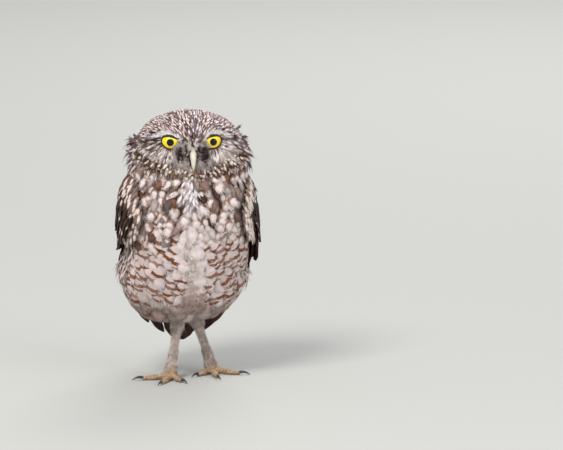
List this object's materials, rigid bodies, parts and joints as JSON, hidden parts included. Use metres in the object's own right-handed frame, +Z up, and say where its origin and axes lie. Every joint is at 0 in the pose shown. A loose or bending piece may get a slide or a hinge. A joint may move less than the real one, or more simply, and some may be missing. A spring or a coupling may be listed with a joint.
{
  "type": "burrowing owl",
  "caption": "Life-size still model of a burrowing owl standing upright on long legs, wings folded, eyes to the front.",
  "frame": {"origin": "on the floor, under the middle of the owl's bounding box", "axes": "+Z up from the floor, through the head; the owl faces -Y; its own left side is towards +X"},
  "size_m": [0.1176, 0.1142, 0.219],
  "materials": {
    "crown_feather": "soft, matt feathers, brown with pale streaks and spots",
    "throat_feather": "soft, matt feathers, buff and white with dark bars",
    "body_feather": "soft, matt feathers, whitish with brown bars",
    "wing_feather": "matt to silky vanes, dark brown with whitish spots",
    "tail_feather": "matt to silky vanes, brown with buff bars",
    "leg_feather": "short bristly down, pale buff",
    "toe_skin": "dry scaled skin, yellow-brown",
    "claw_horn": "dark blue-grey horn, half gloss",
    "bill_horn": "pale grey-yellow horn, half gloss",
    "eye_surface": "wet gloss, yellow iris with a blue-black pupil"
  },
  "bodies": {
    "root": {"head": "crown_feather", "neck": "throat_feather", "torso": "body_feather", "eye_left": "eye_surface", "eye_right": "eye_surface", "bill_upper": "bill_horn", "bill_lower": "bill_horn", "wing_left": "wing_feather", "wing_right": "wing_feather", "tail": "tail_feather", "thigh_left": "leg_feather", "tarsus_left": "leg_feather", "foot_left": "toe_skin", "claw_left_inner": "claw_horn", "claw_left_middle": "claw_horn", "claw_left_outer": "claw_horn", "claw_left_hind": "claw_horn", "thigh_right": "leg_feather", "tarsus_right": "leg_feather", "foot_right": "toe_skin", "claw_right_inner": "claw_horn", "claw_right_middle": "claw_horn", "claw_right_outer": "claw_horn", "claw_right_hind": "claw_horn"}
  },
  "joints": []
}
